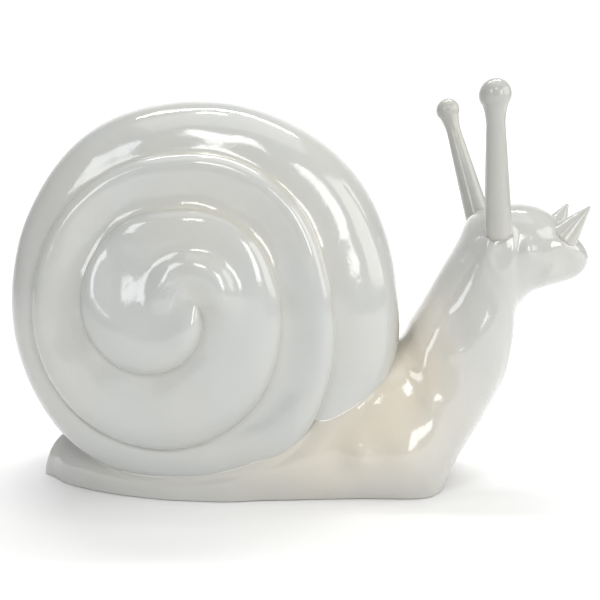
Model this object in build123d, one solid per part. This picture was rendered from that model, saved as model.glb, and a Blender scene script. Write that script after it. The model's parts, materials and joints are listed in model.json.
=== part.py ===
from build123d import *
import math
import os

os.makedirs("parts", exist_ok=True)

# Millimetres. +X towards the head, +Z up. Y = 0 is the joint plane between the right mouldings
# at negative Y and the left ones. Z = 0 is the floor, and X = 0 the middle of the finished figure.

# Overall sizes of the figure
figure_length = 600.0
body_height = 292.0
foot_half_width = 76.0
shell_radius = 200.0
shell_half_depth = 94.0

# Laminate and fits
shell_wall = 4.0
body_wall = 4.0
seat_gap = 0.3
fixing_gap = 0.2
overrun = 1.0

# Heights in the foot
skirt_height = 1.0
deck_top = 16.0

# Relief of the whorls
rim_height = 60.0
rim_lift = 8.0
shoulder_height = 11.0
shoulder_lift = 5.0
valley_drop = 9.0
hub_flat_radius = 9.0
full_band_width = 40.0

# Eye stalks: the right one is the stouter casting
right_ball_radius = 14.8
right_root_radius = 13.8
right_tip_radius = 8.8
left_ball_radius = 12.5
left_root_radius = 14.0
left_tip_radius = 7.6
stalk_collar_length = 14.0
stalk_cup_angle = math.pi / 5

# Steel rods in the stalks
rod_radius = 3.0
rod_in_head = 26.0
rod_below_ball = 12.0

# Feelers over the mouth
feeler_root_radius = 16.5
feeler_tip_radius = 1.5
feeler_pin_radius = 1.5
feeler_pin_in_head = 12.0
feeler_pin_in_cone = 22.0

# Plywood base board under the deck
board_thickness = 9.0
board_edge_gap = 0.5

# Hardwood battens on the deck, inside the shell
batten_width = 36.0
batten_height = 22.0

# Screws through the board and the deck into the battens
screw_radius = 2.0
screw_head_radius = 4.6
screw_head_height = 2.6
screw_in_batten = 16.0

# Rubber feet and their screws
pad_radius = 13.0
pad_height = 5.5
pad_standing = 1.0
pad_screw_radius = 1.75
pad_screw_length = 7.0
pad_screw_head_radius = 3.5
pad_screw_head_height = 2.0

# Threaded inserts for a plinth
insert_bore_radius = 3.4
insert_radius = 5.5
insert_flange_radius = 8.0
insert_flange_height = 1.5

# Vent plug in the board
vent_radius = 6.0
vent_lip_radius = 9.0
vent_lip_height = 1.5

# Bonding tape laid inside along the joint plane
tape_thickness = 1.5
tape_half_width = 16.0

# Places as shares of the figure's length, the foot's half width and the body's height
stalk_foot_shares = (0.3258, 0.493, 0.911)
right_ball_shares = (0.3, 0.855, 1.356)
left_ball_shares = (0.2683, 0.855, 1.3373)
feeler_foot_shares = (0.4428, 0.25, 0.891)
right_feeler_tip_shares = (0.4817, 0.342, 0.998)
left_feeler_tip_shares = (0.4733, 0.342, 0.9965)
head_core_low_shares = (0.2633, -1.0, 0.808)
head_core_high_shares = (0.45, 1.0, 1.0)
pad_place_shares = [(-0.3167, -0.5), (-0.3167, 0.5), (0.1583, -0.5), (0.1583, 0.5)]
insert_place_shares = [(-0.15, 0.0), (0.1, 0.0)]
vent_place_shares = (0.0333, 0.0)
# Where the shell's hub stands, as shares of the figure's length and the shell's radius
shell_hub_shares = (-0.2033, 1.025)
# Battens before and behind the hub, their half span and their screws, as shares of the shell's
# radius and half depth
batten_ahead_shares = [-0.19, 0.185]
batten_span_share = 0.553
screw_spread_shares = [-0.32, 0.32]
# The figure's middle in the frame that it is drawn in, as a share of its length
middle_share = 0.00483

turn_steps = 12
step_angle = 2 * math.pi / turn_steps
first_angle = -math.pi / 2
lean_angle = 0.47 * math.pi
lean_gain = 0.65

# Radius of the shell's rim on the joint plane, every 30 degrees from straight down
rim_radius_shares = [1.13, 1.165, 1.22, 1.105, 1.03, 0.94, 0.87, 0.84, 0.81, 0.835, 0.925, 1.05]
# Radius and depth of the spiral suture, every 30 degrees for two and a quarter turns
suture_radius_shares = [
    1.09, 1.04, 0.883, 0.744, 0.702, 0.657, 0.602, 0.588, 0.607, 0.652, 0.738, 0.815, 0.824, 0.731,
    0.596, 0.499, 0.447, 0.393, 0.353, 0.358, 0.377, 0.412, 0.457, 0.464, 0.403, 0.287, 0.155, 0.069]
suture_depth_shares = [
    0.0, 0.66, 0.75, 0.765, 0.775, 0.785, 0.79, 0.795, 0.80, 0.805, 0.81, 0.815, 0.82, 0.83,
    0.84, 0.855, 0.865, 0.875, 0.885, 0.895, 0.905, 0.92, 0.94, 0.96, 0.985, 1.02, 1.05, 1.075]
# Places of the seven control points across a band, from its outer edge to its inner edge
rim_place_shares = [0.0, 0.0, 0.07, 0.38, 0.68, 0.90, 1.0]
rim_rise_shares = [0.0, 0.45, 0.92, 1.16]
band_place_shares = [0.0, 0.05, 0.20, 0.42, 0.68, 0.85, 1.0]
band_rise_shares = [0.0, 0.80, 1.25, 1.15]
# How much of the valley before the suture the last control points have
valley_shares = [1.0, 0.5]

# Sections of the body from the tail's end to the nose. Each runs from a point on the back to a
# point on the belly: x and z of both, the half width between them, how square its lower corner
# is, and the quarter turns by which the width points away from the side, so that the tail and
# the nose close round.
body_section_shares = [
    (-0.430, 0.151, -0.437, -0.120, 0.22, 0.5, 1.00),
    (-0.413, 0.158, -0.417, -0.120, 0.29, 0.5, 0.61),
    (-0.393, 0.165, -0.397, -0.120, 0.42, 0.5, 0.28),
    (-0.353, 0.178, -0.353, -0.120, 0.61, 0.5, 0.09),
    (-0.293, 0.178, -0.293, -0.120, 0.79, 0.5, 0.00),
    (-0.217, 0.170, -0.217, -0.120, 0.92, 0.5, 0.00),
    (-0.133, 0.195, -0.133, -0.120, 0.98, 0.5, 0.00),
    (-0.050, 0.340, -0.050, -0.120, 1.00, 0.5, 0.00),
    (0.025, 0.430, 0.042, -0.120, 0.99, 0.5, 0.00),
    (0.103, 0.480, 0.145, -0.120, 0.96, 0.7, 0.00),
    (0.173, 0.507, 0.225, -0.103, 0.89, 1.0, 0.00),
    (0.197, 0.582, 0.283, 0.096, 0.79, 0.5, 0.00),
    (0.223, 0.678, 0.327, 0.240, 0.71, 0.1, 0.00),
    (0.248, 0.774, 0.360, 0.384, 0.645, 0.0, 0.00),
    (0.273, 0.866, 0.372, 0.514, 0.59, 0.0, 0.00),
    (0.295, 0.959, 0.375, 0.616, 0.565, 0.0, 0.00),
    (0.338, 0.997, 0.397, 0.682, 0.55, 0.0, 0.00),
    (0.385, 1.000, 0.423, 0.705, 0.50, 0.0, 0.00),
    (0.422, 0.975, 0.450, 0.721, 0.42, 0.0, 0.00),
    (0.450, 0.922, 0.472, 0.738, 0.33, 0.0, -0.39),
    (0.466, 0.875, 0.483, 0.765, 0.15, 0.0, -1.00)]
# Places of the seven control points round a section, down from the back and out from the middle,
# for a round section, and what a square lower corner adds to the widths
girth_place_shares = [0.0, 0.0, 0.22, 0.50, 0.78, 1.0, 1.0]
closing_place_shares = [0.0, 0.12, 0.30, 0.50, 0.70, 0.88, 1.0]
bulge_places = (2, 3, 4)
girth_width_shares = [0.0, 0.58, 1.10, 1.22, 1.10, 0.58, 0.0]
corner_width_shares = [0.0, 0.0, 0.0, 0.0, 0.08, 0.65, 0.0]


shell_hub_x = figure_length * shell_hub_shares[0]
shell_hub_z = deck_top + shell_radius * shell_hub_shares[1]


def body_place(shares):
    """A point of the figure from its shares; with two shares it is a place on the plan."""
    return tuple(size * share for size, share in zip((figure_length, foot_half_width, body_height), shares))


def hermite_rows(points, slopes):
    """Four rows of control points between each two neighbouring sections."""
    spans = []
    for here, there, leave, arrive in zip(points, points[1:], slopes, slopes[1:]):
        spans.append([
            here,
            [p + d / 3 for p, d in zip(here, leave)],
            [p - d / 3 for p, d in zip(there, arrive)],
            there])
    return spans


def limited_slope(before, here, after):
    """Mean of the two steps, or none where the value stands still or turns back."""
    if (after - here) * (here - before) <= 0:
        return 0.0
    return (after - before) / 2


def edge_of(span, place):
    return Edge.make_bezier(*[row[place] for row in span])


def shell_track(inset):
    """Radius and depth of the spiral line: the rim first, then the suture, then the hub's edge."""
    track = [(shell_radius * share - inset, -overrun) for share in rim_radius_shares]
    track.append((shell_radius * suture_radius_shares[0] - inset, -overrun))
    for radius_share, depth_share in zip(suture_radius_shares[1:], suture_depth_shares[1:]):
        track.append((shell_radius * radius_share, shell_half_depth * depth_share - inset))
    edge_radius, edge_depth = track[-1]
    for step in range(1, turn_steps + 1):
        share = step / turn_steps
        track.append((edge_radius + (hub_flat_radius - edge_radius) * share, edge_depth))
    return track


def band_section(track, index, inset):
    """Radius and depth of the seven control points across the band at one angle."""
    angle = first_angle + index * step_angle
    (outer_radius, outer_depth), (inner_radius, inner_depth) = track[index], track[index + turn_steps]
    width = inner_radius - outer_radius
    if index in (0, len(track) - turn_steps - 1):
        return [(outer_radius + width * share, outer_depth) for share in band_place_shares]
    lean = min(1.0, lean_gain * (1 + math.cos(angle - lean_angle)))
    fade = min(1.0, -width / full_band_width)
    seated_depth = shell_half_depth * suture_depth_shares[2] - inset
    sunk = min(1.0, max(0.0, (outer_depth + overrun) / (seated_depth + overrun)))
    rim_rise = rim_height + rim_lift * (1 - lean) - inset + overrun
    shoulder = (shoulder_height + shoulder_lift * (1 - lean)) * fade
    valley = shoulder_lift * (1 - lean) / 2 - valley_drop * lean * fade
    section = []
    for place, band_place in enumerate(band_place_shares):
        share = rim_place_shares[place] + (band_place - rim_place_shares[place]) * sunk
        if place < len(band_rise_shares):
            rim_depth = outer_depth + rim_rise * rim_rise_shares[place]
            band_depth = outer_depth + shoulder * band_rise_shares[place]
            depth = rim_depth + (band_depth - rim_depth) * sunk
        elif place < len(band_place_shares) - 1:
            depth = inner_depth + valley * valley_shares[place - len(band_rise_shares)]
        else:
            depth = inner_depth
        section.append((outer_radius + width * share, depth))
    return section


def shell_spans(inset):
    """Control points of every patch on one side of the shell."""
    track = shell_track(inset)
    count = len(track) - turn_steps
    sections = [band_section(track, index, inset) for index in range(count)]

    def track_slope(index):
        low, high = max(index - 1, 0), min(index + 1, len(track) - 1)
        radius_slope = (track[high][0] - track[low][0]) / (high - low)
        return radius_slope, limited_slope(track[low][1], track[index][1], track[high][1])

    def slope(index, place):
        if place == 0:
            return track_slope(index)
        if place == len(band_place_shares) - 1:
            return track_slope(index + turn_steps)
        low, high = max(index - 1, 0), min(index + 1, count - 1)
        return tuple(
            (sections[high][place][k] - sections[low][place][k]) / (high - low) for k in (0, 1))

    hub = Vector(shell_hub_x, 0, shell_hub_z)
    side = Vector(0, -1, 0)
    points, slopes = [], []
    for index, section in enumerate(sections):
        angle = first_angle + index * step_angle
        outward = Vector(math.cos(angle), 0, math.sin(angle))
        along = Vector(-math.sin(angle), 0, math.cos(angle))
        points.append([hub + outward * radius + side * depth for radius, depth in section])
        row = []
        for place, (radius, depth) in enumerate(section):
            radius_slope, depth_slope = slope(index, place)
            row.append(outward * radius_slope + along * (radius * step_angle) + side * depth_slope)
        slopes.append(row)
    return hermite_rows(points, slopes)


def shell_form(inset=0.0):
    """The right side of the shell as a full solid, closed by a flat face past the joint plane."""
    spans = shell_spans(inset)
    faces = [Face.make_bezier_surface(span) for span in spans]
    rim = [edge_of(span, 0) for span in spans[:turn_steps]] + [Edge.make_bezier(*spans[0][0])]
    hub = [edge_of(span, -1) for span in spans[-turn_steps:]] + [Edge.make_bezier(*spans[-1][-1])]
    return Solid(Shell(faces + [Face(Wire(rim)), Face(Wire(hub))]))


def body_section(shares, inset):
    """The seven control points of one section of the body, from its back to its belly."""
    back_x, back_z, belly_x, belly_z, width_share, corner, turn_share = shares
    back = Vector(figure_length * back_x, overrun, body_height * back_z)
    belly = Vector(figure_length * belly_x, overrun, body_height * belly_z)
    down = (belly - back).normalized()
    back, belly = back + down * inset, belly - down * inset
    half_width = foot_half_width * width_share - inset
    closing = abs(turn_share) == 1
    endways = -math.sin(turn_share * math.pi / 2) * half_width
    sideways = 0.0 if closing else overrun + math.cos(turn_share * math.pi / 2) * half_width
    places = closing_place_shares if closing else girth_place_shares
    section = []
    for index, place in enumerate(places):
        width = girth_width_shares[index] + corner * corner_width_shares[index]
        bulge = width if closing or index in bulge_places else 0.0
        section.append(back + (belly - back) * place + Vector(endways * bulge, -sideways * width, 0))
    return section


def body_form(inset=0.0):
    """The right side of the body as a full solid, closed by a flat face past the joint plane."""
    sections = [body_section(shares, inset) for shares in body_section_shares]
    last = len(sections) - 1
    slopes = []
    for index in range(len(sections)):
        low, high = max(index - 1, 0), min(index + 1, last)
        row = [(after - before) / (high - low)
               for before, after in zip(sections[low], sections[high])]
        if index in (0, last):
            row[1:-1] = [Vector(0, slope.Y, 0) for slope in row[1:-1]]
        slopes.append(row)
    spans = hermite_rows(sections, slopes)
    rim = [edge_of(span, 0) for span in spans] + [edge_of(span, -1) for span in spans]
    rim += [Edge.make_bezier(*spans[0][0]), Edge.make_bezier(*spans[-1][-1])]
    faces = [Face.make_bezier_surface(span) for span in spans]
    return Solid(Shell(faces + [Face(Wire(rim))]))


def slab(low, high):
    """The space between two heights, wider than the figure."""
    wide = 2 * figure_length
    return Pos(0, 0, low) * Box(wide, wide, high - low, align=(Align.CENTER, Align.CENTER, Align.MIN))


def above(height):
    return slab(height, height + 2 * figure_length)


def span_box(low, high):
    """A box between two corners."""
    size = [far - near for near, far in zip(low, high)]
    middle = [(far + near) / 2 for near, far in zip(low, high)]
    return Pos(*middle) * Box(*size)


def right_side(shape):
    """What lies on the right of the joint plane."""
    wide = figure_length
    return shape & span_box((-wide, -wide, -wide), (wide, 0, wide))


def other_side(shape):
    return mirror(shape, Plane.XZ)


def both_sides(half):
    return half + other_side(half)


def rod_between(start, end, radius, tip_radius=None):
    """A round bar, or a cone, between two points."""
    reach = end - start
    tip = radius if tip_radius is None else tip_radius
    shape = Cylinder(radius, reach.length) if tip == radius else Cone(radius, tip, reach.length)
    return Plane(origin=(start + end) / 2, z_dir=reach) * shape


def upright(x, y, low, high, radius):
    """A round bar standing between two heights."""
    return rod_between(Vector(x, y, low), Vector(x, y, high), radius)


def side_point(place, side):
    """A point given by x, distance from the joint plane and z, on the side -1 or +1."""
    return Vector(place[0], side * place[1], place[2])


def drilled(shape, bores):
    for bore in bores:
        shape -= bore
    return shape


def save(name, shape):
    export_step(Pos(-figure_length * middle_share, 0, 0) * shape, "parts/" + name + ".step")


# Forms that more than one piece is cut by
shell_seat = shell_form(-seat_gap) & above(deck_top - seat_gap)
shell_cradle = shell_form(-seat_gap - body_wall) & above(deck_top - seat_gap - body_wall)
head_clear = body_form(-seat_gap)
shell_inside = shell_form(shell_wall + seat_gap)
body_inside = body_form(body_wall + seat_gap)

deck_underside = deck_top - seat_gap - body_wall
board_top = deck_underside - seat_gap
board_bottom = board_top - board_thickness
batten_bottom = deck_top + seat_gap
sides = (-1, 1)


def head_on(side):
    """The head with its clearance, on the side -1 or +1."""
    return head_clear if side < 0 else other_side(head_clear)


# Stalks, with their rods, on the two sides of the head
def stalk_axis(ball, side):
    foot, top = side_point(body_place(stalk_foot_shares), side), side_point(ball, side)
    return foot, top, (top - foot).normalized()


def eye_stalk(ball, ball_radius, root_radius, tip_radius, side):
    """A tapered stalk with a ball on top, seated on the head and bored for its rod."""
    foot, top, up = stalk_axis(ball, side)
    collar = top - up * (ball_radius + stalk_collar_length)
    cup = top - up * (ball_radius * math.sin(stalk_cup_angle))
    turned = rod_between(foot, collar, root_radius, tip_radius)
    turned += rod_between(collar, cup, tip_radius, ball_radius * math.cos(stalk_cup_angle))
    turned += Pos(top.X, top.Y, top.Z) * Sphere(ball_radius)
    return turned - head_on(side) - stalk_rod(ball, ball_radius, side, fixing_gap)


def stalk_rod(ball, ball_radius, side, gap=0.0):
    foot, top, up = stalk_axis(ball, side)
    start = foot - up * (rod_in_head + gap)
    return rod_between(start, top - up * (ball_radius / 2 + rod_below_ball - gap), rod_radius + gap)


right_ball, left_ball = body_place(right_ball_shares), body_place(left_ball_shares)
right_stalk_sizes = (right_ball, right_ball_radius, right_root_radius, right_tip_radius)
left_stalk_sizes = (left_ball, left_ball_radius, left_root_radius, left_tip_radius)
rod_bores = []
for name, sizes, side in (("right", right_stalk_sizes, -1), ("left", left_stalk_sizes, 1)):
    save("eye_stalk_" + name, eye_stalk(*sizes, side))
    save("stalk_rod_" + name, stalk_rod(sizes[0], sizes[1], side))
    rod_bores.append(stalk_rod(sizes[0], sizes[1], side, fixing_gap))


# Feelers over the mouth, each on a pin
def feeler_axis(side):
    tip_shares = right_feeler_tip_shares if side < 0 else left_feeler_tip_shares
    foot, tip = side_point(body_place(feeler_foot_shares), side), side_point(body_place(tip_shares), side)
    return foot, tip, (tip - foot).normalized()


def feeler_pin(side, gap=0.0):
    foot, tip, up = feeler_axis(side)
    start = foot - up * (feeler_pin_in_head + gap)
    return rod_between(start, foot + up * (feeler_pin_in_cone + gap), feeler_pin_radius + gap)


def feeler(side):
    foot, tip, up = feeler_axis(side)
    cone = rod_between(foot, tip, feeler_root_radius, feeler_tip_radius)
    return cone - head_on(side) - feeler_pin(side, fixing_gap)


save("feeler_right", feeler(-1))
save("feeler_left", feeler(1))
save("feeler_pins", Compound([feeler_pin(side) for side in sides]))
pin_bores = [feeler_pin(side, fixing_gap) for side in sides]

# Resin block in the head
core_low, core_high = body_place(head_core_low_shares), body_place(head_core_high_shares)
core_box = span_box(core_low, core_high)
head_core = both_sides(right_side(body_inside & core_box))
save("head_core", drilled(head_core, rod_bores + pin_bores))

# Body mouldings, hollow from the head down to the skirt and dished for the shell
room = body_form(body_wall) - shell_cradle
shell_right = right_side(shell_form() & above(deck_top)) - shell_form(shell_wall)
body_blank = right_side(body_form() & above(skirt_height)) - shell_seat - room - shell_right


# Screws, board, battens, feet and the fixings in the foot
batten_places = [shell_hub_x + shell_radius * share for share in batten_ahead_shares]
screw_places = [(x, shell_half_depth * share) for x in batten_places for share in screw_spread_shares]


def deck_screw(x, y, gap=0.0):
    """A countersunk screw from the board's underside into a batten."""
    head_top = board_bottom + screw_head_height
    head = rod_between(
        Vector(x, y, board_bottom), Vector(x, y, head_top), screw_head_radius + gap, screw_radius + gap)
    return head + upright(x, y, board_bottom, batten_bottom + screw_in_batten + gap, screw_radius + gap)


screw_bores = [deck_screw(x, y, fixing_gap) for x, y in screw_places]
save("deck_screws", Compound([deck_screw(x, y) for x, y in screw_places]))
save("shell_right_half", shell_right)
save("shell_left_half", other_side(shell_right))
save("body_right_half", drilled(body_blank, [rod_bores[0], pin_bores[0]] + screw_bores))
save("body_left_half", drilled(other_side(body_blank), [rod_bores[1], pin_bores[1]] + screw_bores))

pad_places = [body_place(shares) for shares in pad_place_shares]
insert_places = [body_place(shares) for shares in insert_place_shares]
vent_x, vent_y = body_place(vent_place_shares)
pad_screw_base = pad_standing + pad_screw_head_height
pad_screw_top = pad_standing + pad_screw_length


def pad_screw(x, y, gap=0.0):
    head = upright(x, y, pad_standing, pad_screw_base + gap, pad_screw_head_radius + gap)
    return head + upright(x, y, pad_standing, pad_screw_top + gap, pad_screw_radius + gap)


def rubber_foot(x, y):
    mouth = upright(x, y, 0, pad_standing, pad_screw_head_radius + fixing_gap)
    return upright(x, y, 0, pad_height, pad_radius) - pad_screw(x, y, fixing_gap) - mouth


def plinth_insert(x, y):
    barrel = upright(x, y, board_bottom, board_top, insert_radius)
    flange = upright(x, y, board_bottom, board_bottom + insert_flange_height, insert_flange_radius)
    return barrel + flange - upright(x, y, board_bottom, board_top, insert_bore_radius)


def insert_bore(x, y):
    flange_top = board_bottom + insert_flange_height + fixing_gap
    barrel = upright(x, y, board_bottom, board_top, insert_radius + fixing_gap)
    return barrel + upright(x, y, board_bottom, flange_top, insert_flange_radius + fixing_gap)


def vent_plug(gap=0.0):
    lip_top = board_bottom + vent_lip_height + gap
    stem = upright(vent_x, vent_y, board_bottom, board_top, vent_radius + gap)
    return stem + upright(vent_x, vent_y, board_bottom, lip_top, vent_lip_radius + gap)


save("rubber_feet", Compound([rubber_foot(x, y) for x, y in pad_places]))
save("foot_screws", Compound([pad_screw(x, y) for x, y in pad_places]))
save("plinth_inserts", Compound([plinth_insert(x, y) for x, y in insert_places]))
save("vent_plug", vent_plug())

board_inside = body_form(body_wall + board_edge_gap)
board = both_sides(right_side(board_inside & slab(board_bottom, board_top)))
pad_recesses = [upright(x, y, 0, pad_height + seat_gap, pad_radius + seat_gap) for x, y in pad_places]
pad_screw_bores = [pad_screw(x, y, fixing_gap) for x, y in pad_places]
insert_bores = [insert_bore(x, y) for x, y in insert_places]
board_bores = pad_recesses + pad_screw_bores + insert_bores + screw_bores + [vent_plug(fixing_gap)]
save("base_board", drilled(board, board_bores))


def batten(middle_x):
    """A hardwood bar across the shell on the deck, trimmed to the shell's inside."""
    half_span = shell_half_depth * batten_span_share
    low = (middle_x - batten_width / 2, -half_span, batten_bottom)
    high = (middle_x + batten_width / 2, half_span, batten_bottom + batten_height)
    return drilled(both_sides(right_side(shell_inside & span_box(low, high))), screw_bores)


save("rear_batten", batten(batten_places[0]))
save("front_batten", batten(batten_places[1]))


# Bonding tape over the joint, inside the shell and inside the neck
def tape(outside, inside):
    low = (-figure_length, -tape_half_width, 0)
    high = (figure_length, 0, figure_length)
    return (outside & span_box(low, high)) - inside


tape_start = batten_bottom + batten_height + seat_gap
shell_tape = tape(
    shell_inside & above(tape_start), shell_form(shell_wall + seat_gap + tape_thickness))
save("shell_joint_tape", both_sides(shell_tape))

body_tape = tape(body_inside, body_form(body_wall + seat_gap + tape_thickness))
core_clear = span_box(
    [value - seat_gap for value in core_low], [value + 2 * seat_gap for value in core_high])
body_tape = body_tape - core_clear
body_tape = body_tape - shell_form(-2 * seat_gap - body_wall)
body_tape = body_tape & above(board_top + seat_gap)
save("body_joint_tape", both_sides(body_tape))
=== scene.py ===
import json
import math

import bpy
import numpy as np
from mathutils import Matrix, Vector


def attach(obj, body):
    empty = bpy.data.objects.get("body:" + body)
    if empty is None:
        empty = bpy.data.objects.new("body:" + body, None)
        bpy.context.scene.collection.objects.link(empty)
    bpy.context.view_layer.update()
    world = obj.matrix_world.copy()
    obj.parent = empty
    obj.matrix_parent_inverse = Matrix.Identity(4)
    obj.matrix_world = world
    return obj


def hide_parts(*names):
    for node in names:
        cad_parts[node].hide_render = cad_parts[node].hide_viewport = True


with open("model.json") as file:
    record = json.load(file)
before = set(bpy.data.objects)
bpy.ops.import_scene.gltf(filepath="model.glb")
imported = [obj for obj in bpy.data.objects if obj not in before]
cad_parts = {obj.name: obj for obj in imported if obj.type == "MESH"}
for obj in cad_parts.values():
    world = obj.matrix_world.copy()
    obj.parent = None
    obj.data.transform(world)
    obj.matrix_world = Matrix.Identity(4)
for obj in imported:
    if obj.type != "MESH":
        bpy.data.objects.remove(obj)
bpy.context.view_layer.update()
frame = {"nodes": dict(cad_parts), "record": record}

# Sizes of the mouldings in metres, as in the part's source
middle_x = 0.0029
figure_length = 0.600
body_height = 0.292
foot_half_width = 0.076
shell_radius = 0.200
shell_half_depth = 0.094
shell_hub_x = -0.122
shell_hub_z = 0.221
body_wall = 0.004
skirt_height = 0.001
deck_top = 0.016
board_hidden_height = 0.010
rim_height = 0.060
rim_lift = 0.008
shoulder_height = 0.011
shoulder_lift = 0.005
valley_drop = 0.009
full_band_width = 0.040

# Steps of the spiral in a turn, and the angle at which it starts
turn_steps = 12
step_angle = 2 * math.pi / turn_steps
first_angle = -math.pi / 2
# Where the bands lean over most, and how fast the lean comes in round the shell
lean_angle = 0.47 * math.pi
lean_gain = 0.65
# Radius of the shell's rim on the joint plane, every 30 degrees from straight down
rim_radius_shares = [
    1.13, 1.165, 1.22, 1.105, 1.03, 0.94, 0.87, 0.84, 0.81, 0.835, 0.925, 1.05]
# Radius and depth of the spiral suture, every 30 degrees, one turn to a line
suture_radius_shares = [
    1.09, 1.04, 0.883, 0.744, 0.702, 0.657, 0.602, 0.588, 0.607, 0.652, 0.738, 0.815,
    0.824, 0.731, 0.596, 0.499, 0.447, 0.393, 0.353, 0.358, 0.377, 0.412, 0.457, 0.464,
    0.403, 0.287, 0.155, 0.069]
suture_depth_shares = [
    0.0, 0.66, 0.75, 0.765, 0.775, 0.785, 0.79, 0.795, 0.80, 0.805, 0.81, 0.815,
    0.82, 0.83, 0.84, 0.855, 0.865, 0.875, 0.885, 0.895, 0.905, 0.92, 0.94, 0.96,
    0.985, 1.02, 1.05, 1.075]
# Step of the suture from which a band is shaped as a band and no longer as the rim
first_band_step = 2
# Seven control points across a band, from its outer to its inner edge: their places, the rise of
# the first four over the outer edge, and the share of the valley in the two before the last
rising = slice(0, 4)
sinking = slice(4, 6)
rim_place_shares = np.array([0.0, 0.0, 0.07, 0.38, 0.68, 0.90, 1.0])
band_place_shares = np.array([0.0, 0.05, 0.20, 0.42, 0.68, 0.85, 1.0])
rim_rise_shares = np.array([0.0, 0.45, 0.92, 1.16])
band_rise_shares = np.array([0.0, 0.80, 1.25, 1.15])
valley_shares = np.array([1.0, 0.5])
# How the ramp outside the first suture is narrower than the part's
ramp_place_gains = np.array([0.12, 0.055])
ramp_valley_cuts = np.array([0.35, 0.0])

# Sections of the body from the tail's end to the nose: x and z on the back, x and z on the belly,
# half width, how square the lower corner is, and the quarter turns that close the two ends
body_section_shares = np.array([
    (-0.430, 0.151, -0.437, -0.120, 0.22, 0.5, 1.00),
    (-0.413, 0.158, -0.417, -0.120, 0.29, 0.5, 0.61),
    (-0.393, 0.165, -0.397, -0.120, 0.42, 0.5, 0.28),
    (-0.353, 0.178, -0.353, -0.120, 0.61, 0.5, 0.09),
    (-0.293, 0.178, -0.293, -0.120, 0.79, 0.5, 0.00),
    (-0.217, 0.170, -0.217, -0.120, 0.92, 0.5, 0.00),
    (-0.133, 0.195, -0.133, -0.120, 0.98, 0.5, 0.00),
    (-0.050, 0.340, -0.050, -0.120, 1.00, 0.5, 0.00),
    (0.025, 0.430, 0.042, -0.120, 0.99, 0.5, 0.00),
    (0.103, 0.480, 0.145, -0.120, 0.96, 0.7, 0.00),
    (0.173, 0.507, 0.225, -0.103, 0.89, 1.0, 0.00),
    (0.197, 0.582, 0.283, 0.096, 0.79, 0.5, 0.00),
    (0.223, 0.678, 0.327, 0.240, 0.71, 0.1, 0.00),
    (0.248, 0.774, 0.360, 0.384, 0.645, 0.0, 0.00),
    (0.273, 0.866, 0.372, 0.514, 0.59, 0.0, 0.00),
    (0.295, 0.959, 0.375, 0.616, 0.565, 0.0, 0.00),
    (0.338, 0.997, 0.397, 0.682, 0.55, 0.0, 0.00),
    (0.385, 1.000, 0.423, 0.705, 0.50, 0.0, 0.00),
    (0.422, 0.975, 0.450, 0.721, 0.42, 0.0, 0.00),
    (0.450, 0.922, 0.472, 0.738, 0.33, 0.0, -0.39),
    (0.466, 0.875, 0.483, 0.765, 0.15, 0.0, -1.00)])
# Seven control points round half a section, from the back to the belly: their places, which of
# them are pushed endways, their widths, and what a square corner adds. The sections that close
# the two ends have places of their own
girth_place_shares = np.array([0.0, 0.0, 0.22, 0.50, 0.78, 1.0, 1.0])
closing_place_shares = np.array([0.0, 0.12, 0.30, 0.50, 0.70, 0.88, 1.0])
bulge_places = np.array([0.0, 0.0, 1.0, 1.0, 1.0, 0.0, 0.0])
girth_width_shares = np.array([0.0, 0.58, 1.10, 1.22, 1.10, 0.58, 0.0])
corner_width_shares = np.array([0.0, 0.0, 0.0, 0.0, 0.08, 0.65, 0.0])

# Castings, as places of the right side and radii
stalk_foot = (0.1955, 0.0375, 0.266)
right_ball = (0.180, 0.065, 0.396)
left_ball = (0.161, 0.065, 0.3905)
right_stalk_root = 0.0138
feeler_foot = (0.2657, 0.019, 0.2602)
right_feeler_tip = (0.289, 0.026, 0.2915)
left_feeler_tip = (0.284, 0.026, 0.291)
feeler_root = 0.0165
stalk_in_head = 0.004
feeler_in_head = 0.003
# End of a stalk: how far from the ball its taper stops and its neck starts, and how far below its
# middle the ball's own circle starts, as a share of its radius
taper_stop = 0.012
neck_start = 0.014
ball_start = 0.6

# How far the grids' lines gather towards both ends
shell_gather = 0.75
body_gather = 0.35
# Depth from the joint plane at which the relief of the surface is whole
whole_relief_depth = 0.02
# Decimals of a metre that two corners have to share to be one vertex
place_decimals = 7
# A way round the body past which it counts as run to its end
whole_way = 0.9999


def placed(place, side):
    """A place of the right side in the frame: x from the figure's middle, y out to a side."""
    return np.array([place[0] - middle_x, side * place[1], place[2]])


def spaced(count, gather):
    """Places from 0 to 1, gathered towards both ends: s - gather * sin(2 pi s) / (2 pi)."""
    s = np.linspace(0, 1, count)
    return s - gather * np.sin(2 * np.pi * s) / (2 * np.pi)


def eased(share):
    """Smooth step from 0 to 1: 3 * share ** 2 - 2 * share ** 3."""
    return share ** 2 * (3 - 2 * share)


def along(values, slopes, places):
    """Smooth line through evenly spaced values with the given slopes, read at places counted in
    steps: on each step the cubic that has the values and the slopes of both ends."""
    step = np.clip(np.floor(places).astype(int), 0, len(values) - 2)
    t = (places - step).reshape(places.shape + (1,) * (values.ndim - 1))
    return ((2 * t ** 3 - 3 * t ** 2 + 1) * values[step] + (t ** 3 - 2 * t ** 2 + t) * slopes[step]
            + (3 * t ** 2 - 2 * t ** 3) * values[step + 1] + (t ** 3 - t ** 2) * slopes[step + 1])


def across(control, places):
    """Curve over each row of control points, read at places from 0 to 1: the sum of the points,
    point k of n times choose(n, k) * place ** k * (1 - place) ** (n - k)."""
    n = control.shape[1] - 1
    k = np.arange(n + 1)
    choose = np.array([math.comb(n, i) for i in k])
    weights = choose * places[..., None] ** k * (1 - places[..., None]) ** (n - k)
    return np.einsum("rck,rkd->rcd", weights, control)


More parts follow.
